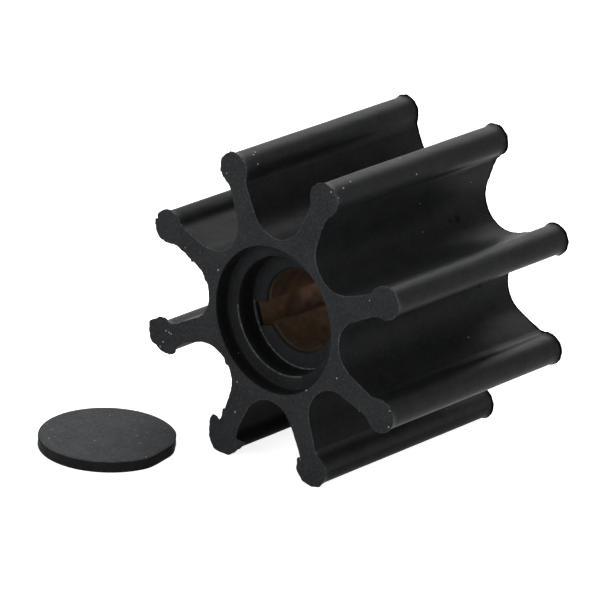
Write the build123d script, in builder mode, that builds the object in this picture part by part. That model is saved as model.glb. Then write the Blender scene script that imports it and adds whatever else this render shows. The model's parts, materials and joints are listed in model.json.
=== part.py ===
"""Flexible pump impeller: a moulded rubber body, its bronze drive bush and its loose hub plug.

Millimetres. The origin is on the shaft axis at half the body's width. +Y runs along the shaft
axis from the open front face to the rear face, +Z is up and +X is to the right of someone who
looks at the front face. The body lies on two of its beads, and the plug lies flat beside it.
"""
from build123d import *
from math import cos, radians, sin, tan
import os

os.makedirs("parts", exist_ok=True)

# Rubber body: blades with round beads, and the rim pressed out at each bead's ends
tip_diameter = 65.0
body_width = 50.0
blade_count = 8
bead_radius = 3.0
web_half_thickness = 1.7
web_taper = 3.9
neck_fillet = 2.3
end_lip = 0.4
end_lip_length = 0.9

# Stepped recess in the hub's front and shallow recess in its rear
plug_seat_radius = 14.45
plug_seat_depth = 3.25
hub_wall = 2.0
shaft_recess_radius = 11.65
shaft_recess_depth = 4.2
rear_recess_depth = 2.0
recess_chamfer = 0.4

# Bronze drive bush, held in the rubber behind a thin skin at each end
hub_skin = 0.6
bore_radius = 8.03
bore_chamfer = 0.3
bush_wall = 4.8
bond_groove_width = 12.0
bond_groove_depth = 0.8
key_width = 4.76
keyway_depth = 2.85
keyway_angle = 199.0

# Loose hub plug, taken out and laid down in front of the body
plug_clearance = 0.95
plug_thickness = 2.2
plug_place = (-29.2, -38.5)

# Faces and heights that follow from the sizes above
front_y = -body_width / 2
rear_y = body_width / 2
front_face = Plane.XZ.offset(-front_y)
rear_face = -Plane.XZ.offset(-rear_y)
bead_circle_radius = tip_diameter / 2 - bead_radius
half_pitch = 180 / blade_count
first_blade_angle = 270 - half_pitch
floor_z = -bead_circle_radius * cos(radians(half_pitch)) - bead_radius - end_lip

# A pocket's round floor touches both blade sides and leaves the hub's wall over the plug seat
pocket_floor_radius = plug_seat_radius + hub_wall
pocket_half_opening = half_pitch + web_taper
side_slope = tan(radians(web_taper))
side_reach = sin(radians(half_pitch)) + cos(radians(half_pitch)) * side_slope
side_offset = web_half_thickness + bead_circle_radius * side_slope
touch_reach = 1 / cos(radians(web_taper)) - side_reach
pocket_radius = (pocket_floor_radius * side_reach - side_offset) / touch_reach
pocket_centre = pocket_floor_radius + pocket_radius

# Where the bush lies along the shaft axis
shaft_recess_y = front_y + plug_seat_depth + shaft_recess_depth
rear_recess_y = rear_y - rear_recess_depth
bush_front_y = shaft_recess_y + hub_skin
bush_length = rear_recess_y - hub_skin - bush_front_y
bush_middle_y = bush_front_y + bush_length / 2
bush_radius = bore_radius + bush_wall
bush_front = Plane.XZ.offset(-bush_front_y)


def rims(part, radius, height):
    """Round edges of one radius about the shaft axis, at one place along it."""
    round_edges = part.edges().filter_by(GeomType.CIRCLE)
    return round_edges.filter_by(
        lambda edge: abs(edge.radius - radius) < 0.001 and abs(edge.arc_center.Y - height) < 0.001
    )


# The keyway's section: a slot from the shaft axis out past the bore's wall
with BuildSketch(Plane.XZ) as keyway:
    with PolarLocations(0, 1, start_angle=keyway_angle):
        Rectangle(bore_radius + keyway_depth, key_width, align=(Align.MIN, Align.CENTER))

# Outer form of the bush: a round bar waisted by a bonding groove, which the rubber is moulded round
with BuildPart() as bush_bar:
    with BuildSketch(bush_front):
        Circle(bush_radius)
    extrude(amount=-bush_length)
    with BuildSketch(Plane.XZ.offset(-bush_middle_y)):
        Circle(bush_radius)
        Circle(bush_radius - bond_groove_depth, mode=Mode.SUBTRACT)
    extrude(amount=bond_groove_width / 2, both=True, mode=Mode.SUBTRACT)

# One pocket between two blades: a round floor that runs into the two flat blade sides
with BuildSketch() as pocket:
    with BuildLine():
        pocket_floor = CenterArc(
            (pocket_centre, 0),
            pocket_radius,
            90 + pocket_half_opening,
            180 - 2 * pocket_half_opening,
        )
        upper_side = PolarLine(pocket_floor @ 0, tip_diameter, pocket_half_opening)
        lower_side = PolarLine(pocket_floor @ 1, tip_diameter, -pocket_half_opening)
        Line(upper_side @ 1, lower_side @ 1)
    make_face()

# Moulded rubber body
with BuildPart() as impeller_body:
    with BuildSketch(Plane.XZ) as star:
        Circle(bead_circle_radius)
        with PolarLocations(0, blade_count, start_angle=first_blade_angle + half_pitch):
            add(pocket.sketch, mode=Mode.SUBTRACT)
        with PolarLocations(bead_circle_radius, blade_count, start_angle=first_blade_angle):
            Circle(bead_radius)
        necks = star.vertices().sort_by_distance((0, 0, 0))[-2 * blade_count :]
        fillet(necks, neck_fillet)
    extrude(amount=body_width / 2, both=True)

    with Locations(front_face):
        with PolarLocations(bead_circle_radius, blade_count, start_angle=first_blade_angle):
            front_lips = Cone(
                bead_radius - end_lip,
                bead_radius + end_lip,
                2 * end_lip_length,
                align=(Align.CENTER, Align.CENTER, Align.MAX),
            )
    mirror(front_lips, about=Plane.XZ)

    # The plug lies on the ledge of the front recess, over the end of the shaft
    with Locations(front_face):
        CounterBoreHole(
            shaft_recess_radius,
            plug_seat_radius,
            plug_seat_depth,
            depth=plug_seat_depth + shaft_recess_depth,
        )
    with Locations(rear_face):
        Hole(shaft_recess_radius, depth=rear_recess_depth)
    ledge_y = front_y + plug_seat_depth
    chamfer(rims(impeller_body, plug_seat_radius, ledge_y), recess_chamfer)
    chamfer(rims(impeller_body, shaft_recess_radius, ledge_y), recess_chamfer)
    chamfer(rims(impeller_body, shaft_recess_radius, shaft_recess_y), recess_chamfer)

    # Room for the bush, and the way through the skins for the shaft and its key
    add(bush_bar.part, mode=Mode.SUBTRACT)
    with Locations(front_face):
        Hole(bore_radius + bore_chamfer)
    extrude(keyway.sketch, amount=body_width / 2, both=True, mode=Mode.SUBTRACT)

impeller_body.part.label = "impeller_body"
export_step(impeller_body.part, "parts/impeller_body.step")

# Bronze drive bush
with BuildPart() as drive_bush:
    add(bush_bar.part)
    with Locations(bush_front):
        Hole(bore_radius)
    chamfer(rims(drive_bush, bore_radius, bush_front_y), bore_chamfer)
    chamfer(rims(drive_bush, bore_radius, bush_front_y + bush_length), bore_chamfer)
    extrude(keyway.sketch, amount=body_width / 2, both=True, mode=Mode.SUBTRACT)

drive_bush.part.label = "drive_bush"
export_step(drive_bush.part, "parts/drive_bush.step")

# Rubber disc that closes the front recess
with BuildPart() as hub_plug:
    with BuildSketch(Plane.XY.offset(floor_z)):
        with Locations(plug_place):
            Circle(plug_seat_radius - plug_clearance)
    extrude(amount=plug_thickness)

hub_plug.part.label = "hub_plug"
export_step(hub_plug.part, "parts/hub_plug.step")
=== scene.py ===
"""Visible rubber impeller, bronze bush and hub plug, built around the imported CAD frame.

Sizes are in millimetres and become metres where a mesh is made. Blades are numbered from the one
at lower left, counter-clockwise as seen from the front. An angle on a bead is counted in degrees,
counter-clockwise, from the direction in which its blade points.
"""
import json
import random
from math import acos, asin, atan2, ceil, cos, degrees, hypot, pi, radians, sin, sqrt, tan

import bmesh
import bpy
from mathutils import Matrix, Vector, kdtree, noise
from mathutils.geometry import delaunay_2d_cdt


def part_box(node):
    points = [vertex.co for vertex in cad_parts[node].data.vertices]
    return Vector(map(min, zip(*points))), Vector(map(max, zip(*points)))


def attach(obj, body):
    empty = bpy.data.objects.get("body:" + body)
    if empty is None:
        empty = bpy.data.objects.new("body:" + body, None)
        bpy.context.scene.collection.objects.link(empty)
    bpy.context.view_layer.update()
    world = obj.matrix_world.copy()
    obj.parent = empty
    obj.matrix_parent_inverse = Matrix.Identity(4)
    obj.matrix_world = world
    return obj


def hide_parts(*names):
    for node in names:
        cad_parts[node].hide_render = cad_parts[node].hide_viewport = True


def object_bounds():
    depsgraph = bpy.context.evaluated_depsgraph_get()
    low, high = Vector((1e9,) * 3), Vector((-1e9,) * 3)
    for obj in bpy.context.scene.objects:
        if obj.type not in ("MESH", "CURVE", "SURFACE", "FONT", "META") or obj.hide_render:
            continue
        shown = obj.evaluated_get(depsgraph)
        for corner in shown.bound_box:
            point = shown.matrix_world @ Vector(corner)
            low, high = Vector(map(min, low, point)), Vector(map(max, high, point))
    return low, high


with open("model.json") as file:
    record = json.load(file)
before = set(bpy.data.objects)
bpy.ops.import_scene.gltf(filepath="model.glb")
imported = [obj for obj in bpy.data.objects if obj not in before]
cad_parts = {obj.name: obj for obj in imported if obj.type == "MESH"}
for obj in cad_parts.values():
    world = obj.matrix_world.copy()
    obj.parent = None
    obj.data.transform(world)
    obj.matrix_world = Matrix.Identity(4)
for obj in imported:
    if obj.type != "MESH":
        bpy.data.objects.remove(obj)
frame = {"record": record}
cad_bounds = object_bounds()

MM = 0.001

# Seeded, so that every run gives the same points
draw = random.Random(8)

# Places of each piece's finishes in its list of materials
# Some of the body's finishes are painted light: a painted highlight on rims and recess edges,
# painted shade on the rear rims and in the lowest pocket, and gloss that is partly painted sheen
MOULDED, GROUND, PAINTED_HIGHLIGHT, RUBBED_AND_SHEEN, PAINTED_SHADE_POCKET, PAINTED_SHADE_RIM = range(6)
# The bush's second finish is painted shade on its front chamfer
TURNED, PAINTED_SHADE_CHAMFER = range(2)
SHEET, CUT_SIDE = range(2)

# Sizes that come from the frame
body_low, body_high = (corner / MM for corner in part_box("impeller_body"))
bush_low, bush_high = (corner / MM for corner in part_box("drive_bush"))
plug_low, plug_high = (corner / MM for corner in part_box("hub_plug"))
bore_mount = next(m for m in frame["record"]["mounts"] if m["name"] == "shaft_bore")
bore_radius = bore_mount["dims"]["r_mm"]
front_y = body_low.y
rear_y = body_high.y
body_width = rear_y - front_y

# Blades: tapered webs with a round bead at the tip
blade_count = 8
first_blade = radians(247.5)
bead_radius = 3.0
web_half_thickness = 1.7
web_taper = radians(3.9)
neck_fillet = 2.3
edge_round = 0.12
end_lip = 0.4
end_lip_length = 1.5
end_lip_curve = 1.6
half_pitch = pi / blade_count
bead_circle = (body_high.x - bead_radius - end_lip) / cos(half_pitch)
pocket_floor_radius = 16.45

# Steps of the outline along half a blade, and of the rows of faces down its length
tip_steps = 38
neck_steps = 6
web_steps = 16
floor_steps = 14
edge_steps = 3
end_depths = (0.22, 0.3, 0.42, 0.6, 0.85, 1.15, 1.5, 2.0, 2.7, 3.6, 4.6)
middle_steps = 30
bore_steps = 112
plug_steps = 144

# Unevenness of the moulded surface: long waves, fine grain, and the rim near each end. Sizes
# are across and along the shaft axis, and the surface lies low by a share of the height.
wave_height = 0.05
wave_size = (9, 14)
grain_height = 0.015
grain_size = (1.7, 3.0)
rim_height = 0.12
bead_rim_extra = 0.06
rim_grain = 0.9
rim_length = 0.8
low_share = 0.2

# Rows of faces along the blades that are painted light in front, a painted highlight, and painted
# near black behind, painted shade
painted_highlight_bands = 4
painted_shade_rim_bands = 7

# Beads are glossier, partly from real rubbing and partly as painted sheen, but for one blade and
# for the undersides of the two lowest, which keep the plain gloss as painted shade. The pocket
# between those two gets a copy of the moulded rubber with almost no gloss, as painted shade. A
# glossier face is at least this much a part of its bead, and on the two lowest looks up at least
# this far. The painted shade in that pocket starts this many degrees from their tips.
bead_share = 0.5
rubbed_and_sheen_rise = 0.1
painted_shade_pocket_start = 40
painted_shade_blade = 6

# Hub: stepped recess in front, shallow recess behind, and the bush between two skins of rubber.
# Two of the recess's edges are painted pale over the arc at lower left, as a painted highlight.
plug_seat_radius = 14.45
plug_seat_depth = 3.25
shaft_recess_radius = 11.65
shaft_recess_depth = 7.45
rear_recess_depth = 2.0
recess_root = 0.4
recess_highlight_bands = (10, 16)
highlight_direction = radians(240)
highlight_half_arc = radians(55.25)
bush_radius = bush_high.x
bush_waist_radius = bush_radius - 0.8
bush_waist_half_length = 6.0
bore_chamfer = 0.3
keyway_floor = bore_radius + 2.85
keyway_half_width = 2.38
keyway_angle = radians(199.0)

# Plug: soft flats on its cut edge, as direction and depth, and its far side bent up a little
plug_flats = ((radians(38), 0.32), (radians(10), 0.6))
plug_flat_spread = 1.5
plug_unevenness = 0.12
plug_waves = 2.2
plug_dip = 0.03
plug_dip_size = 4
plug_centre_dip = 0.02
plug_side_share = 0.98
plug_bend = 0.3
plug_bend_facing = radians(40)

# Webs stand a little thicker, more so on the side that faces the blade before, and one is
# thin on the side that faces the blade after it
web_extra = 0.1
web_rise = 4.0
web_lean = {0: 0.25, 1: 0.2, 2: 0.15, 3: 0.15, 7: 0.3}
web_lean_behind = {7: -0.4}

# Thin flash on the front rims: blade, angles where it starts and ends, how far it stands out
# at each. Beyond 140 degrees either way it lies on the neck and the web, and one web's is torn
# more than the rest.
front_flash = (
    (0, -158.2, -152, 0.45, 0.15),
    (0, -152, -129, 0.15, 0.15),
    (0, -128, -118, 1.0, 1.5),
    (0, -118, -106, 1.5, 1.6),
    (0, -106, -80, 1.5, 0.65),
    (0, -80, -15, 0.65, 0.7),
    (0, -15, 15, 0.65, 0.3),
    (0, 15, 60, 0.3, 0.2),
    (0, 60, 90, 0.2, 0.6),
    (0, 90, 106, 0.65, 1.45),
    (0, 106, 118, 1.45, 2.1),
    (1, -143, -95, 0.75, 0.7),
    (1, -95, -38, 0.7, 0.0),
    (5, -22, -3, 0.2, 0.2),
    (5, 40, 58, 0.15, 0.15),
    (5, 74, 90, 0.2, 0.25),
    (6, -75, 0, 0.22, 0.22),
    (6, 8, 30, 0.4, 0.4),
    (6, 30, 85, 0.25, 0.25),
    (6, 140, 163, 0.05, 0.05),
    (6, 163, 164.1, 0.15, 0.5),
    (6, 164.1, 172, 0.05, 0.05),
    (7, -116, -95, 0.35, 0.65),
    (7, -95, -72, 0.75, 0.8),
    (7, -72, -45, 0.85, 1.4),
    (7, -45, -18, 1.3, 0.85),
    (7, -18, -3, 0.8, 1.05),
    (7, -3, 20, 1.05, 0.05),
    (7, 83, 115, 0.3, 0.3),
)
flash_thickness = 0.5
flash_taper = 0.2
flash_tear = 0.25
tear_grain = 0.7
torn_web = 6
torn_web_tear = 1.5

# Small pits in the pockets on the right, and bright specks of dust on the rubber. Stray specks
# lie at random, at most one in each cell of space.
pits = (
    (10.3, 15.39, 13.56),
    (10.74, 15.5, 12.75),
    (10.52, 15.9, 13.15),
    (10.45, 13.47, 13.25),
    (16.5, 16.04, 0.9),
)
dust_specks = (
    (-10.04, -20.46, 29.98),
    (-9.67, -21.29, 29.78),
    (-8.45, -21.3, 28.2),
    (-14.28, front_y, 6.18),
    (-8.68, front_y, -21.28),
    (-8.45, front_y, -15.02),
    (8.96, front_y, -11.53),
    (16.38, front_y, -6.88),
    (29.58, front_y, -9.52),
    (29.52, front_y, -12.75),
    (13.03, front_y, 29.32),
    (14.12, -24.21, 28.24),
    (13.36, -21.87, 29.43),
    (12.73, -19.2, 29.88),
    (14.28, -1.86, 27.51),
    (11.16, -3.24, 30.25),
    (-27.17, front_y, -9.97),
    (-26.33, front_y, -10.08),
    (-25.8, front_y, -10.23),
    (-27.81, front_y, -12.47),
    (-28.56, front_y, -13.63),
    (-35.8, -47.89, plug_high.z),
    (-28.93, -42.38, plug_high.z),
    (-23.59, -28.23, plug_high.z),
    (-25.08, -34.69, plug_high.z),
    (-38.07, -37.64, plug_high.z),
    (-36.45, -36.43, plug_high.z),
    (-24.74, -32.22, plug_high.z),
    (-22.13, -36.88, plug_high.z),
    (-16.86, -40.87, plug_high.z),
)
pit_size = 0.4
pit_tone = (0.002, 0.002, 0.002)
speck_size = 0.16
speck_tone = (0.24, 0.24, 0.24)
stray_speck_size = 0.13
stray_speck_tone = (0.2, 0.2, 0.2)
speck_cell = 2.6


def clamped(value):
    """Value kept between 0 and 1."""
    return max(0.0, min(1.0, value))


def arc(centre, radius, start, end, count, outward):
    """Points of an arc with their outward directions, which face its centre if outward is -1."""
    points = []
    for step in range(count + 1):
        angle = start + (end - start) * step / count
        across, along = cos(angle), sin(angle)
        x = centre[0] + radius * across
        y = centre[1] + radius * along
        points.append((x, y, outward * across, outward * along))
    return points


def half_blade():
    """Outline from the tip of a blade to the middle of its pocket, with the blade along +X."""
    # The neck's fillet touches the bead and the tapered web
    slope = tan(web_taper)
    rise = web_half_thickness + neck_fillet / cos(web_taper)
    square = 1 + slope * slope
    reach = (bead_radius + neck_fillet) ** 2
    run = (rise * slope - sqrt((rise * slope) ** 2 - square * (rise * rise - reach))) / square
    neck = (bead_circle + run, rise - run * slope)
    neck_start = atan2(-neck[1], -run)
    neck_end = -pi / 2 - web_taper

    # The pocket's floor touches the webs on both sides of it
    side_reach = sin(half_pitch) + cos(half_pitch) * slope
    side_offset = web_half_thickness + bead_circle * slope
    touch_reach = 1 / cos(web_taper) - side_reach
    pocket_radius = (pocket_floor_radius * side_reach - side_offset) / touch_reach
    pocket_distance = pocket_floor_radius + pocket_radius
    pocket = (pocket_distance * cos(half_pitch), pocket_distance * sin(half_pitch))

    floor_start = 1.5 * pi - web_taper
    floor_end = pi + half_pitch
    points = arc((bead_circle, 0), bead_radius, 0, neck_start + pi, tip_steps, 1)
    points += arc(neck, neck_fillet, neck_start, neck_end, neck_steps, -1)[1:]
    floor = arc(pocket, pocket_radius, floor_start, floor_end, floor_steps, -1)
    web_outer = Vector(points[-1][:2])
    web_inner = Vector(floor[0][:2])
    for step in range(1, web_steps):
        x, y = web_outer.lerp(web_inner, step / web_steps)
        points.append((x, y, sin(web_taper), cos(web_taper)))
    return points + floor


def star_outline():
    """Whole outline, each point with its outward direction, blade and place on the bead."""
    half = half_blade()
    blade = [(x, -y, nx, -ny) for x, y, nx, ny in reversed(half[1:])] + half[:-1]
    outline = []
    for number in range(blade_count):
        turn = Matrix.Rotation(first_blade + number * 2 * half_pitch, 2)
        for x, y, nx, ny in blade:
            place = turn @ Vector((x, y))
            out = turn @ Vector((nx, ny))
            angle = degrees(atan2(y, x - bead_circle))
            distance = hypot(x - bead_circle, y)
            on_bead = clamped(1 - (distance - bead_radius) / neck_fillet)
            outline.append((place, out, number, angle, on_bead))
    return outline


def flash_reach(blade, angle):
    """How far the front rim's thin flash stands out at one place on a bead."""
    for flash_blade, start, end, first, last in front_flash:
        if flash_blade == blade and start <= angle < end:
            return first + (last - first) * (angle - start) / (end - start)
    return 0.0


def row_depths():
    """Rows down the blades, as (depth from the front, how far the edge's rounding sets it in)."""
    end = []
    for step in range(edge_steps + 1):
        angle = step * pi / (2 * edge_steps)
        end.append((edge_round * (1 - cos(angle)), edge_round * (1 - sin(angle))))
    end += [(depth, 0.0) for depth in end_depths]
    start = end_depths[-1]
    middle = []
    for step in range(1, middle_steps):
        middle.append((start + (body_width - 2 * start) * step / middle_steps, 0.0))
    return end + middle + [(body_width - depth, inset) for depth, inset in reversed(end)]


def outside_offset(point, depth, blade, angle, on_bead):
    """How far the moulded surface stands outside the plain outline at one place."""
    x, z = point
    near_end = min(depth, body_width - depth)
    lip = end_lip * max(0.0, 1 - near_end / end_lip_length) ** end_lip_curve * on_bead
    across, along = wave_size
    wave = noise.noise(Vector((x / across, depth / along, z / across))) - low_share
    across, along = grain_size
    fine = noise.noise(Vector((x / across, depth / along, z / across)))
    offset = wave_height * wave + grain_height * fine
    rim = noise.noise(Vector((x / rim_grain + 7, depth, z / rim_grain))) - low_share
    offset += (rim_height + bead_rim_extra * on_bead) * rim * max(0.0, 1 - near_end / rim_length)
    web = (1 - on_bead) * clamped((hypot(x, z) - pocket_floor_radius) / web_rise)
    lean = web_lean if angle < 0 else web_lean_behind
    offset += web * (web_extra + lean.get(blade, 0.0))
    thin = clamped((flash_thickness - depth) / flash_taper)
    tear = flash_tear
    if blade == torn_web:
        tear += torn_web_tear * (1 - on_bead)
    torn = 1 + tear * noise.noise(Vector((x / tear_grain, 3.0, z / tear_grain)))
    flash = flash_reach(blade, angle) * torn * thin
    return offset + lip + flash


def ring(mesh, angles, radius, y, keyed):
    """Row of vertices round the shaft axis; a keyed row follows the keyway's slot too."""
    row = []
    for angle in angles:
        distance = keyed_radius(angle, radius) if keyed else radius
        x = distance * cos(keyway_angle + angle)
        z = distance * sin(keyway_angle + angle)
        row.append(mesh.verts.new((x * MM, y * MM, z * MM)))
    return row


def keyed_radius(angle, radius):
    """Distance from the axis to a bore's wall with its keyway, which is at angle 0."""
    angle = abs((angle + pi) % (2 * pi) - pi)
    if angle <= atan2(keyway_half_width, keyway_floor) + 0.0001:
        return keyway_floor / cos(angle)
    if angle < asin(keyway_half_width / radius):
        return keyway_half_width / sin(angle)
    return radius


def keyed_angles(radius):
    """Angles round the axis from the keyway, with points at the corners of its slot."""
    outer_corner = atan2(keyway_half_width, keyway_floor)
    inner_corner = asin(keyway_half_width / radius)
    middle = (outer_corner + inner_corner) / 2
    near = [outer_corner / 3, outer_corner * 2 / 3, outer_corner, middle, inner_corner]
    sweep = 2 * pi - 2 * inner_corner
    rest = [inner_corner + sweep * step / bore_steps for step in range(1, bore_steps)]
    return [0.0] + near + rest + [2 * pi - angle for angle in reversed(near)]


def bridge(mesh, first, second, finish):
    """Quads of one finish between two rows of the same number of vertices."""
    count = len(first)
    faces = []
    for index in range(count):
        after = (index + 1) % count
        face = mesh.faces.new((first[index], first[after], second[after], second[index]))
        face.material_index = finish
        faces.append(face)
    return faces


def fill_between(mesh, outer, inner, spacing, hollow):
    """Face square to the axis between two rows, with points inside it that lie slightly low."""
    jitter = 0.2
    row_rise = 0.87
    least_gap = 0.55
    hollow_size = 3.0
    y = outer[0].co.y
    edge = outer + inner
    edge_tree = kdtree.KDTree(len(edge))
    for index, vert in enumerate(edge):
        edge_tree.insert(vert.co, index)
    edge_tree.balance()
    reach = max(vert.co.length for vert in outer)
    steps = ceil(reach / (spacing * MM))
    points = [(vert.co.x, vert.co.z) for vert in edge]
    for column in range(-steps, steps + 1):
        for row in range(-steps, steps + 1):
            x = (column + 0.5 * (row % 2) + draw.uniform(-jitter, jitter)) * spacing * MM
            z = (row * row_rise + draw.uniform(-jitter, jitter)) * spacing * MM
            if edge_tree.find((x, y, z))[2] > least_gap * spacing * MM:
                points.append((x, z))
    loops = [list(range(len(outer))), list(range(len(outer), len(edge)))]
    flat_points = [Vector(point) for point in points]
    places, _, triangles, sources, _, owners = delaunay_2d_cdt(flat_points, [], loops, 1, 1e-9)
    verts = []
    for place, source in zip(places, sources):
        known = [index for index in source if index < len(edge)]
        if known:
            verts.append(edge[known[0]])
            continue
        low = 0.5 + 0.5 * noise.noise(Vector((place.x, 0, place.y)) / (hollow_size * MM))
        verts.append(mesh.verts.new((place.x, y + hollow * low * MM, place.y)))
    for triangle, owner in zip(triangles, owners):
        if owner == [0]:
            face = mesh.faces.new([verts[index] for index in triangle])
            face.material_index = GROUND
    for vert in verts:
        if not vert.link_faces:
            mesh.verts.remove(vert)


def add_piece(name, mesh, node, materials):
    """Closed mesh as a piece that stands for a CAD node."""
    sharp_angle = radians(38)
    bmesh.ops.remove_doubles(mesh, verts=mesh.verts, dist=1e-8)
    bmesh.ops.recalc_face_normals(mesh, faces=mesh.faces)
    for face in mesh.faces:
        face.smooth = True
    for edge in mesh.edges:
        edge.smooth = edge.calc_face_angle(0) < sharp_angle
    data = bpy.data.meshes.new(name)
    mesh.to_mesh(data)
    mesh.free()
    for material in materials:
        data.materials.append(material)
    piece = bpy.data.objects.new(name, data)
    bpy.context.scene.collection.objects.link(piece)
    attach(piece, "root")
    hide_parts(node)


def side_finish(band, last_band, out, blade, angle, on_bead):
    """Finish of one face on the body's sides, by its band and its place on the outline."""
    # Front rims painted light, a painted highlight
    if band < painted_highlight_bands:
        return PAINTED_HIGHLIGHT
    # Rear rims painted near black, painted shade
    if band > last_band - painted_shade_rim_bands:
        return PAINTED_SHADE_RIM
    # Painted shade: the pocket between the two lowest blades gets a copy of the moulded rubber
    # with almost no gloss
    if (blade == 0 and angle > painted_shade_pocket_start) or (blade == 1 and angle < -painted_shade_pocket_start):
        return PAINTED_SHADE_POCKET
    # Extra gloss on the beads, partly real rubbing and partly painted sheen, kept off one blade
    # and the undersides of the two lowest as painted shade
    sheen_side = blade > 1 or out.y > rubbed_and_sheen_rise
    if on_bead > bead_share and blade != painted_shade_blade and sheen_side:
        return RUBBED_AND_SHEEN
    return MOULDED


def star_rows(mesh):
    """Moulded sides of the body, from the front face's edge to the rear face's edge."""
    outline = star_outline()
    rows = []
    for depth, inset in row_depths():
        row = []
        for place, out, blade, angle, on_bead in outline:
            offset = outside_offset(place, depth, blade, angle, on_bead) - inset
            x, z = place + out * offset
            # Nothing stands outside the box of the solids
            z = max(body_low.z, min(body_high.z, z))
            x = min(body_high.x, x)
            row.append(mesh.verts.new((x * MM, (front_y + depth) * MM, z * MM)))
        rows.append(row)
    last_band = len(rows) - 2
    for band, (first, second) in enumerate(zip(rows, rows[1:])):
        faces = bridge(mesh, first, second, MOULDED)
        for face, (place, out, blade, angle, on_bead) in zip(faces, outline):
            face.material_index = side_finish(band, last_band, out, blade, angle, on_bead)
    return rows[0], rows[-1]


def hub_rows(mesh):
    """Recesses, skins and the room for the bush, from the front face's ring to the rear's."""
    ledge_y = front_y + plug_seat_depth
    floor_y = front_y + shaft_recess_depth
    rear_floor_y = rear_y - rear_recess_depth
    hole_radius = bore_radius + bore_chamfer
    skin_radius = bore_radius + 0.06
    waist_y = (bush_low.y + bush_high.y) / 2
    seat, recess, root = plug_seat_radius, shaft_recess_radius, recess_root
    rim, rim_middle = 0.16, 0.05
    root_middle = 0.12
    ledge_margin = 0.9
    skin_round = 0.25
    skin_step = 0.1
    # Radius, place along the axis, and whether the row follows the keyway
    profile = [
        (seat + rim, front_y, False),
        (seat + rim_middle, front_y + rim_middle, False),
        (seat, front_y + rim, False),
        (seat, front_y + 1.3, False),
        (seat, front_y + 2.5, False),
        (seat, ledge_y - root, False),
        (seat - root_middle, ledge_y - root_middle, False),
        (seat - root, ledge_y, False),
        (seat - ledge_margin, ledge_y, False),
        (recess + ledge_margin, ledge_y, False),
        (recess + root, ledge_y, False),
        (recess + root_middle, ledge_y + root_middle, False),
        (recess, ledge_y + root, False),
        (recess, ledge_y + 1.5, False),
        (recess, ledge_y + 3.0, False),
        (recess, floor_y - root, False),
        (recess - root_middle, floor_y - root_middle, False),
        (recess - root, floor_y, False),
        (hole_radius + skin_round, floor_y, True),
        (hole_radius + 0.08, floor_y + 0.07, True),
        (hole_radius, floor_y + skin_round, True),
        (skin_radius, bush_low.y - skin_step, True),
        (skin_radius, bush_low.y, True),
        (bush_radius, bush_low.y, False),
        (bush_radius, waist_y - bush_waist_half_length, False),
        (bush_waist_radius, waist_y - bush_waist_half_length, False),
        (bush_waist_radius, waist_y + bush_waist_half_length, False),
        (bush_radius, waist_y + bush_waist_half_length, False),
        (bush_radius, bush_high.y, False),
        (hole_radius, bush_high.y, True),
        (hole_radius, rear_floor_y - skin_step, True),
        (hole_radius + skin_step, rear_floor_y, True),
        (recess - root, rear_floor_y, False),
        (recess - root_middle, rear_floor_y + root_middle, False),
        (recess, rear_floor_y + root, False),
        (recess, rear_y - rim, False),
        (recess + rim_middle, rear_y - rim_middle, False),
        (recess + rim, rear_y, False),
    ]
    angles = keyed_angles(hole_radius)
    rows = [ring(mesh, angles, radius, y, keyed) for radius, y, keyed in profile]
    highlight_towards = Vector((cos(highlight_direction), 0, sin(highlight_direction)))
    for band, (first, second) in enumerate(zip(rows, rows[1:])):
        for face in bridge(mesh, first, second, MOULDED):
            middle = face.calc_center_median()
            middle.y = 0
            # Painted highlight on two rounded edges of the recess, over the arc at lower left
            if band in recess_highlight_bands and middle.angle(highlight_towards) < highlight_half_arc:
                face.material_index = PAINTED_HIGHLIGHT
    return rows[0], rows[-1]


def rubber_body(materials):
    """Body with its blades, front and rear faces, recesses and the bush's seat."""
    spacing = 1.2
    hollow = 0.03
    mesh = bmesh.new()
    front_edge, rear_edge = star_rows(mesh)
    front_ring, rear_ring = hub_rows(mesh)
    fill_between(mesh, front_edge, front_ring, spacing, hollow)
    fill_between(mesh, rear_edge, rear_ring, spacing, -hollow)
    add_piece("rubber_body", mesh, "impeller_body", materials)


def bronze_bush(materials):
    """Turned bush with its keyway, waisted outside and bore; the front chamfer is painted shade.
    """
    mesh = bmesh.new()
    waist_y = (bush_low.y + bush_high.y) / 2
    # Radius, place along the axis, and whether the row follows the keyway
    profile = [
        (bore_radius + bore_chamfer, bush_low.y, True),
        (bore_radius, bush_low.y + bore_chamfer, True),
        (bore_radius, bush_high.y - bore_chamfer, True),
        (bore_radius + bore_chamfer, bush_high.y, True),
        (bush_radius, bush_high.y, False),
        (bush_radius, waist_y + bush_waist_half_length, False),
        (bush_waist_radius, waist_y + bush_waist_half_length, False),
        (bush_waist_radius, waist_y - bush_waist_half_length, False),
        (bush_radius, waist_y - bush_waist_half_length, False),
        (bush_radius, bush_low.y, False),
    ]
    angles = keyed_angles(bore_radius)
    rows = [ring(mesh, angles, radius, y, keyed) for radius, y, keyed in profile]
    # The front chamfer is painted dark, painted shade at the bore's mouth
    bridge(mesh, rows[0], rows[1], PAINTED_SHADE_CHAMFER)
    for first, second in zip(rows[1:], rows[2:] + rows[:1]):
        bridge(mesh, first, second, TURNED)
    add_piece("bronze_bush", mesh, "drive_bush", materials)


def plug_edge(angle):
    """Radius of the cut edge of the plug, which is slightly uneven and has two soft flats."""
    radius = (plug_high.x - plug_low.x) / 2
    across, along = plug_waves * cos(angle), plug_waves * sin(angle)
    uneven = 0.5 + 0.5 * noise.noise(Vector((across, along, 5.0)))
    edge = radius - plug_unevenness * uneven
    for facing, depth in plug_flats:
        away = abs((angle - facing + pi) % (2 * pi) - pi)
        half_width = plug_flat_spread * acos(1 - depth / radius)
        if away < half_width:
            edge -= depth * cos(pi / 2 * away / half_width) ** 2
    return edge


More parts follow.
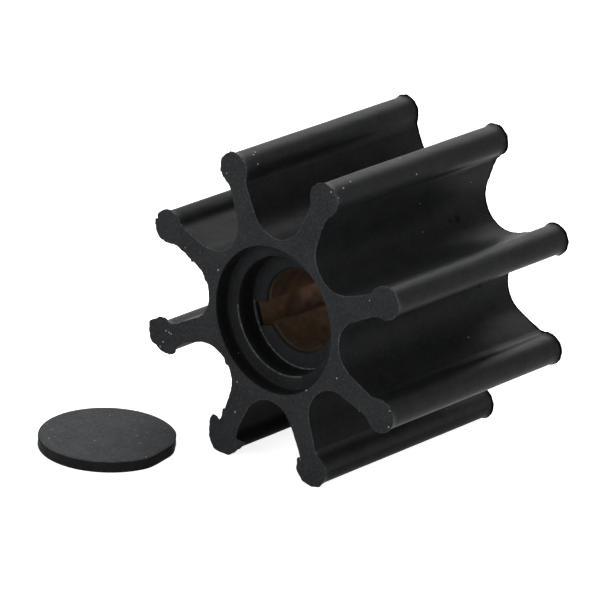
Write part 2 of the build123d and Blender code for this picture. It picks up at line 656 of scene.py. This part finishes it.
def hub_plug(materials):
    """Cut rubber disc that lies flat on the floor."""
    mesh = bmesh.new()
    middle = (plug_low + plug_high) / 2
    top, bottom = plug_high.z, plug_low.z
    # Share of the radius, and height
    profile = [
        (0.25, top), (0.5, top), (0.75, top), (0.93, top), (0.978, top), (0.99, top - 0.06),
        (0.997, top - 0.18), (1.0, top - 0.34), (0.996, top - 0.8), (0.997, top - 1.4),
        (1.0, bottom + 0.15), (0.994, bottom + 0.04), (0.985, bottom), (0.6, bottom),
    ]
    rows = []
    for share, height in profile:
        row = []
        for step in range(plug_steps):
            angle = step * 2 * pi / plug_steps
            radius = plug_edge(angle) * share
            x = middle.x + radius * cos(angle)
            y = middle.y + radius * sin(angle)
            wave = noise.noise(Vector((x / plug_dip_size, y / plug_dip_size, 1.0)))
            dip = plug_dip * (0.5 + 0.5 * wave)
            z = height - dip if height > middle.z else height
            away = (y - middle.y) * cos(plug_bend_facing) - (x - middle.x) * sin(plug_bend_facing)
            z += plug_bend * (0.5 + 0.5 * away / plug_edge(0)) ** 2
            row.append(mesh.verts.new((x * MM, y * MM, z * MM)))
        rows.append(row)
    for first, second, (share, _) in zip(rows, rows[1:], profile):
        bridge(mesh, first, second, CUT_SIDE if share > plug_side_share else SHEET)
    for row, height in ((rows[0], top - plug_centre_dip), (rows[-1], bottom)):
        centre = mesh.verts.new((middle.x * MM, middle.y * MM, height * MM))
        for index in range(plug_steps):
            mesh.faces.new((row[index], row[(index + 1) % plug_steps], centre))
    add_piece("hub_disc", mesh, "hub_plug", materials)


def new_material(name):
    """Node material with its tree, its principled shader and a vector in millimetres."""
    material = bpy.data.materials.new(name)
    material.use_nodes = True
    tree = material.node_tree
    place = tree.nodes.new("ShaderNodeTexCoord")
    scale = tree.nodes.new("ShaderNodeVectorMath")
    scale.operation = "SCALE"
    scale.inputs["Scale"].default_value = 1 / MM
    tree.links.new(place.outputs["Object"], scale.inputs[0])
    return material, tree, tree.nodes["Principled BSDF"], scale.outputs[0]


def math_node(tree, operation, first, second):
    """Result of an operation on two values, each a socket or a plain number."""
    node = tree.nodes.new("ShaderNodeMath")
    node.operation = operation
    for socket, value in zip(node.inputs, (first, second)):
        if isinstance(value, bpy.types.NodeSocket):
            tree.links.new(value, socket)
        else:
            socket.default_value = value
    return node.outputs[0]


def noise_node(tree, vector, scale, detail, rough, stretch=(1, 1, 1)):
    """Noise over the piece, with scale in waves per millimetre."""
    mapping = tree.nodes.new("ShaderNodeMapping")
    mapping.inputs["Scale"].default_value = stretch
    texture = tree.nodes.new("ShaderNodeTexNoise")
    texture.inputs["Scale"].default_value = scale
    texture.inputs["Detail"].default_value = detail
    texture.inputs["Roughness"].default_value = rough
    tree.links.new(vector, mapping.inputs["Vector"])
    tree.links.new(mapping.outputs["Vector"], texture.inputs["Vector"])
    return texture.outputs["Fac"]


def ramp_node(tree, value, stops):
    """Colour ramp between two (position, colour) stops."""
    ramp = tree.nodes.new("ShaderNodeValToRGB")
    for element, (position, colour) in zip(ramp.color_ramp.elements, stops):
        element.position = position
        element.color = (*colour, 1)
    tree.links.new(value, ramp.inputs["Fac"])
    return ramp.outputs["Color"]


def mix_node(tree, factor, first, colour):
    """Mix of a first colour, where the factor is 0, and a plain colour, where it is 1."""
    mix = tree.nodes.new("ShaderNodeMix")
    mix.data_type = "RGBA"
    tree.links.new(factor, mix.inputs[0])
    tree.links.new(first, mix.inputs[6])
    mix.inputs[7].default_value = (*colour, 1)
    return mix.outputs[2]


def bump_node(tree, heights, shader):
    """Bumps stacked from (height socket, distance in millimetres)."""
    last = None
    for height, distance in heights:
        bump = tree.nodes.new("ShaderNodeBump")
        bump.inputs["Strength"].default_value = 1.0
        bump.inputs["Distance"].default_value = distance * MM
        tree.links.new(height, bump.inputs["Height"])
        if last:
            tree.links.new(last, bump.inputs["Normal"])
        last = bump.outputs["Normal"]
    tree.links.new(last, shader.inputs["Normal"])


def speck_mask(tree, vector, cell, size, share):
    """White dust specks: one possible speck in each cell, of which a share is kept."""
    cells = tree.nodes.new("ShaderNodeTexVoronoi")
    cells.inputs["Scale"].default_value = 1 / cell
    tree.links.new(vector, cells.inputs["Vector"])
    split = tree.nodes.new("ShaderNodeSeparateColor")
    tree.links.new(cells.outputs["Color"], split.inputs["Color"])
    near = math_node(tree, "LESS_THAN", cells.outputs["Distance"], size / cell)
    kept = math_node(tree, "LESS_THAN", split.outputs[0], share)
    return math_node(tree, "MULTIPLY", near, kept)


def mark_mask(tree, vector, places, size):
    """Small round marks at given places, in millimetres."""
    marks = None
    for place in places:
        away = tree.nodes.new("ShaderNodeVectorMath")
        away.operation = "DISTANCE"
        away.inputs[1].default_value = place
        tree.links.new(vector, away.inputs[0])
        near = math_node(tree, "LESS_THAN", away.outputs["Value"], size)
        marks = math_node(tree, "MAXIMUM", marks, near) if marks else near
    return marks


def rubber_material(name, tones, gloss, rough, patch_start, speck_share):
    """Matte black rubber with uneven bloom, fine grain, pits and a few specks of dust."""
    dark, light, dust = tones
    bloom_scale, mottle_scale, grain_scale, wave_scale = 0.22, 1.6, 5.0, 0.5
    grain_bump, wave_bump = 0.02, 0.12
    patch_fade = 0.22
    rough_spread = 0.06
    material, tree, shader, vector = new_material(name)
    bloom = noise_node(tree, vector, bloom_scale, 5, 0.6)
    colour = ramp_node(tree, bloom, [(0.35, dark), (0.68, light)])
    mottle = noise_node(tree, vector, mottle_scale, 6, 0.65)
    patch_stops = [(patch_start, (0, 0, 0)), (patch_start + patch_fade, (1, 1, 1))]
    patches = ramp_node(tree, mottle, patch_stops)
    colour = mix_node(tree, patches, colour, dust)
    specks = speck_mask(tree, vector, speck_cell, stray_speck_size, speck_share)
    colour = mix_node(tree, specks, colour, stray_speck_tone)
    placed = mark_mask(tree, vector, dust_specks, speck_size)
    colour = mix_node(tree, placed, colour, speck_tone)
    pitted = mark_mask(tree, vector, pits, pit_size)
    colour = mix_node(tree, pitted, colour, pit_tone)
    tree.links.new(colour, shader.inputs["Base Color"])
    smoothest, roughest = (rough - rough_spread,) * 3, (rough + rough_spread,) * 3
    shine = ramp_node(tree, mottle, [(0.3, smoothest), (0.7, roughest)])
    tree.links.new(shine, shader.inputs["Roughness"])
    shader.inputs["Specular IOR Level"].default_value = gloss
    grain = noise_node(tree, vector, grain_scale, 4, 0.6)
    waves = noise_node(tree, vector, wave_scale, 3, 0.5, (1, 0.35, 1))
    bump_node(tree, [(grain, grain_bump), (waves, wave_bump)], shader)
    return material


def bronze_material(name, tones):
    """Dull brown bronze, rougher where it is stained dark, with fine turning marks."""
    dark, light = tones
    metal_share = 0.85
    stain_scale, turning_scale = 0.35, 1.0
    stained_rough, clean_rough = (0.6,) * 3, (0.42,) * 3
    turning_bump = 0.015
    material, tree, shader, vector = new_material(name)
    stain = noise_node(tree, vector, stain_scale, 5, 0.6)
    colour = ramp_node(tree, stain, [(0.3, dark), (0.7, light)])
    tree.links.new(colour, shader.inputs["Base Color"])
    shader.inputs["Metallic"].default_value = metal_share
    shine = ramp_node(tree, stain, [(0.3, stained_rough), (0.7, clean_rough)])
    tree.links.new(shine, shader.inputs["Roughness"])
    turning = noise_node(tree, vector, turning_scale, 2, 0.5, (0.2, 7, 0.2))
    bump_node(tree, [(turning, turning_bump)], shader)
    return material


def seen_ray(tree):
    """1 where the camera, a gloss or glass looks, and 0 for the light that falls on things."""
    rays = tree.nodes.new("ShaderNodeLightPath")
    camera_ray, glossy_ray = rays.outputs["Is Camera Ray"], rays.outputs["Is Glossy Ray"]
    seen = math_node(tree, "MAXIMUM", camera_ray, glossy_ray)
    return math_node(tree, "MAXIMUM", seen, rays.outputs["Is Transmission Ray"])


def white_surroundings():
    """World that lights softly and is plain white to the camera, to gloss and through glass."""
    world = bpy.data.worlds.new("surroundings")
    bpy.context.scene.world = world
    world.use_nodes = True
    tree = world.node_tree
    back = tree.nodes["Background"]
    level = tree.nodes.new("ShaderNodeMapRange")
    level.inputs["To Min"].default_value = surroundings_light
    level.inputs["To Max"].default_value = surroundings_seen
    tree.links.new(seen_ray(tree), level.inputs["Value"])
    tree.links.new(level.outputs["Result"], back.inputs["Strength"])
    back.inputs["Color"].default_value = (1, 1, 1, 1)


def floor():
    """Wide white floor under the object, which keeps its soft shadow."""
    mesh = bmesh.new()
    bmesh.ops.create_grid(mesh, x_segments=1, y_segments=1, size=floor_half_width)
    data = bpy.data.meshes.new("studio_floor")
    mesh.to_mesh(data)
    mesh.free()
    piece = bpy.data.objects.new("studio_floor", data)
    piece.location.z = cad_bounds[0].z - floor_gap
    bpy.context.scene.collection.objects.link(piece)
    material = bpy.data.materials.new("studio_white")
    material.use_nodes = True
    tree = material.node_tree
    shader = tree.nodes["Principled BSDF"]
    shader.inputs["Base Color"].default_value = (*floor_colour, 1)
    shader.inputs["Roughness"].default_value = floor_roughness
    shader.inputs["Specular IOR Level"].default_value = 0.0
    shader.inputs["Emission Color"].default_value = (1, 1, 1, 1)
    glow = math_node(tree, "MULTIPLY", seen_ray(tree), floor_glow)
    tree.links.new(glow, shader.inputs["Emission Strength"])
    data.materials.append(material)


def direction_from(azimuth, elevation):
    """Direction from the object towards a place given by its azimuth and elevation."""
    level = cos(elevation)
    return Vector((sin(azimuth) * level, -cos(azimuth) * level, sin(elevation)))


def soft_lamp(name, azimuth, elevation, power):
    """Square soft lamp that faces the object."""
    lamp = bpy.data.lights.new(name, "AREA")
    lamp.shape = "SQUARE"
    lamp.size = lamp_size
    lamp.energy = power
    piece = bpy.data.objects.new(name, lamp)
    away = direction_from(radians(azimuth), radians(elevation))
    piece.location = away * lamp_distance
    piece.rotation_euler = away.to_track_quat("Z", "Y").to_euler()
    bpy.context.scene.collection.objects.link(piece)


def camera():
    """Long lens at the photograph's height and side, turned so that the frame is the same."""
    azimuth, elevation, roll = radians(40.06), radians(21.006), radians(2.587)
    distance = 1006.8
    focal_pixels = 5246.6
    axis_pixel = (359.77, 288.04)
    photo_pixels = 600
    sensor_width = 36.0
    farthest = 20.0
    right = Vector((cos(azimuth), sin(azimuth), 0))
    back = direction_from(azimuth, elevation)
    up = back.cross(right)
    level_right = right * cos(roll) + up * sin(roll)
    level_up = up * cos(roll) - right * sin(roll)
    place = back * distance
    centre = photo_pixels / 2
    aim = level_right * (centre - axis_pixel[0]) - level_up * (centre - axis_pixel[1])
    aim *= distance / focal_pixels
    backward = (place - aim).normalized()
    sideways = level_up.cross(backward).normalized()
    upward = backward.cross(sideways)
    lens = bpy.data.cameras.new("view")
    lens.sensor_width = sensor_width
    lens.lens = focal_pixels * sensor_width / photo_pixels
    lens.clip_end = farthest
    piece = bpy.data.objects.new("view", lens)
    turn = Matrix((sideways, upward, backward)).transposed().to_4x4()
    piece.matrix_world = Matrix.Translation(place * MM) @ turn
    bpy.context.scene.collection.objects.link(piece)
    bpy.context.scene.camera = piece


# Studio, in metres and watts: lamps by azimuth and elevation in degrees, and power
surroundings_light = 0.05
surroundings_seen = 1.0
floor_half_width = 6.0
floor_gap = 0.00005
floor_colour = (0.8, 0.8, 0.8)
floor_roughness = 0.9
floor_glow = 0.88
lamp_distance = 1.5
lamp_size = 0.9
lamps = (
    ("front_low", -5, 12, 19.5),
    ("right_low", 112, 18, 12),
    ("back_low", 215, 14, 3),
    ("back_middle", 199, 38, 12.5),
    ("back_high", 193, 60, 12),
    ("top_light", 0, 86, 5),
)

# Rubber colours from dark to light, and the colour of dust on them
moulded_tones = ((0.0088, 0.0092, 0.0098), (0.0125, 0.0131, 0.0139), (0.017, 0.0178, 0.0188))
ground_tones = ((0.016, 0.0168, 0.0178), (0.0214, 0.0226, 0.024), (0.032, 0.0338, 0.036))
# Light colour of the front rims and two recess edges, a painted highlight
painted_highlight_tones = ((0.024, 0.0252, 0.0267), (0.037, 0.0388, 0.041), (0.07, 0.073, 0.076))
sheet_tones = ((0.029, 0.0312, 0.0335), (0.039, 0.042, 0.045), (0.058, 0.0622, 0.066))
# Near black colour of the rear rims, painted shade
painted_shade_rim_tones = ((0.002, 0.0021, 0.0022), (0.003, 0.0031, 0.0033), (0.004, 0.0042, 0.0044))
cut_tones = ((0.0075, 0.008, 0.0084), (0.011, 0.0115, 0.012), (0.016, 0.0166, 0.0172))

# Bronze colours from dark to light
bronze_tones = ((0.085, 0.056, 0.035), (0.19, 0.128, 0.076))
# Darker bronze for the front chamfer, painted shade at the bore's mouth
painted_shade_chamfer_tones = ((0.02, 0.015, 0.01), (0.04, 0.028, 0.018))

# Finishes: colours, gloss, roughness, noise level at which dust starts, share of stray specks
rubber_finishes = {
    "rubber_moulded": (moulded_tones, 0.014, 0.42, 0.5, 0.08),
    # Glossier copy for the beads, partly real rubbing and partly painted sheen
    "rubber_rubbed_and_sheen": (moulded_tones, 0.035, 0.42, 0.5, 0.08),
    # Copy of the moulded rubber with almost no gloss, painted shade in the lowest pocket
    "rubber_painted_shade_pocket": (moulded_tones, 0.004, 0.42, 0.5, 0.08),
    "rubber_ground": (ground_tones, 0.015, 0.6, 0.48, 0.2),
    # Painted highlight on front rims and recess edges
    "rubber_painted_highlight": (painted_highlight_tones, 0.015, 0.6, 0.44, 0.1),
    "rubber_sheet": (sheet_tones, 0.015, 0.5, 0.46, 0.6),
    "rubber_cut": (cut_tones, 0.015, 0.6, 0.5, 0.1),
    # Painted shade on the rear rims
    "rubber_painted_shade_rim": (painted_shade_rim_tones, 0.0, 0.6, 0.5, 0.0),
}
finishes = {name: rubber_material(name, *look) for name, look in rubber_finishes.items()}
bronze = bronze_material("bronze_turned", bronze_tones)
painted_shade_chamfer = bronze_material("bronze_painted_shade_chamfer", painted_shade_chamfer_tones)

# Each piece's finishes, in the order of their named places
body_names = ("moulded", "ground", "painted_highlight", "rubbed_and_sheen", "painted_shade_pocket", "painted_shade_rim")
rubber_body([finishes["rubber_" + name] for name in body_names])
bronze_bush([bronze, painted_shade_chamfer])
hub_plug([finishes["rubber_sheet"], finishes["rubber_cut"]])

white_surroundings()
floor()
camera()
for lamp in lamps:
    soft_lamp(*lamp)

bpy.context.scene.view_settings.view_transform = "Standard"

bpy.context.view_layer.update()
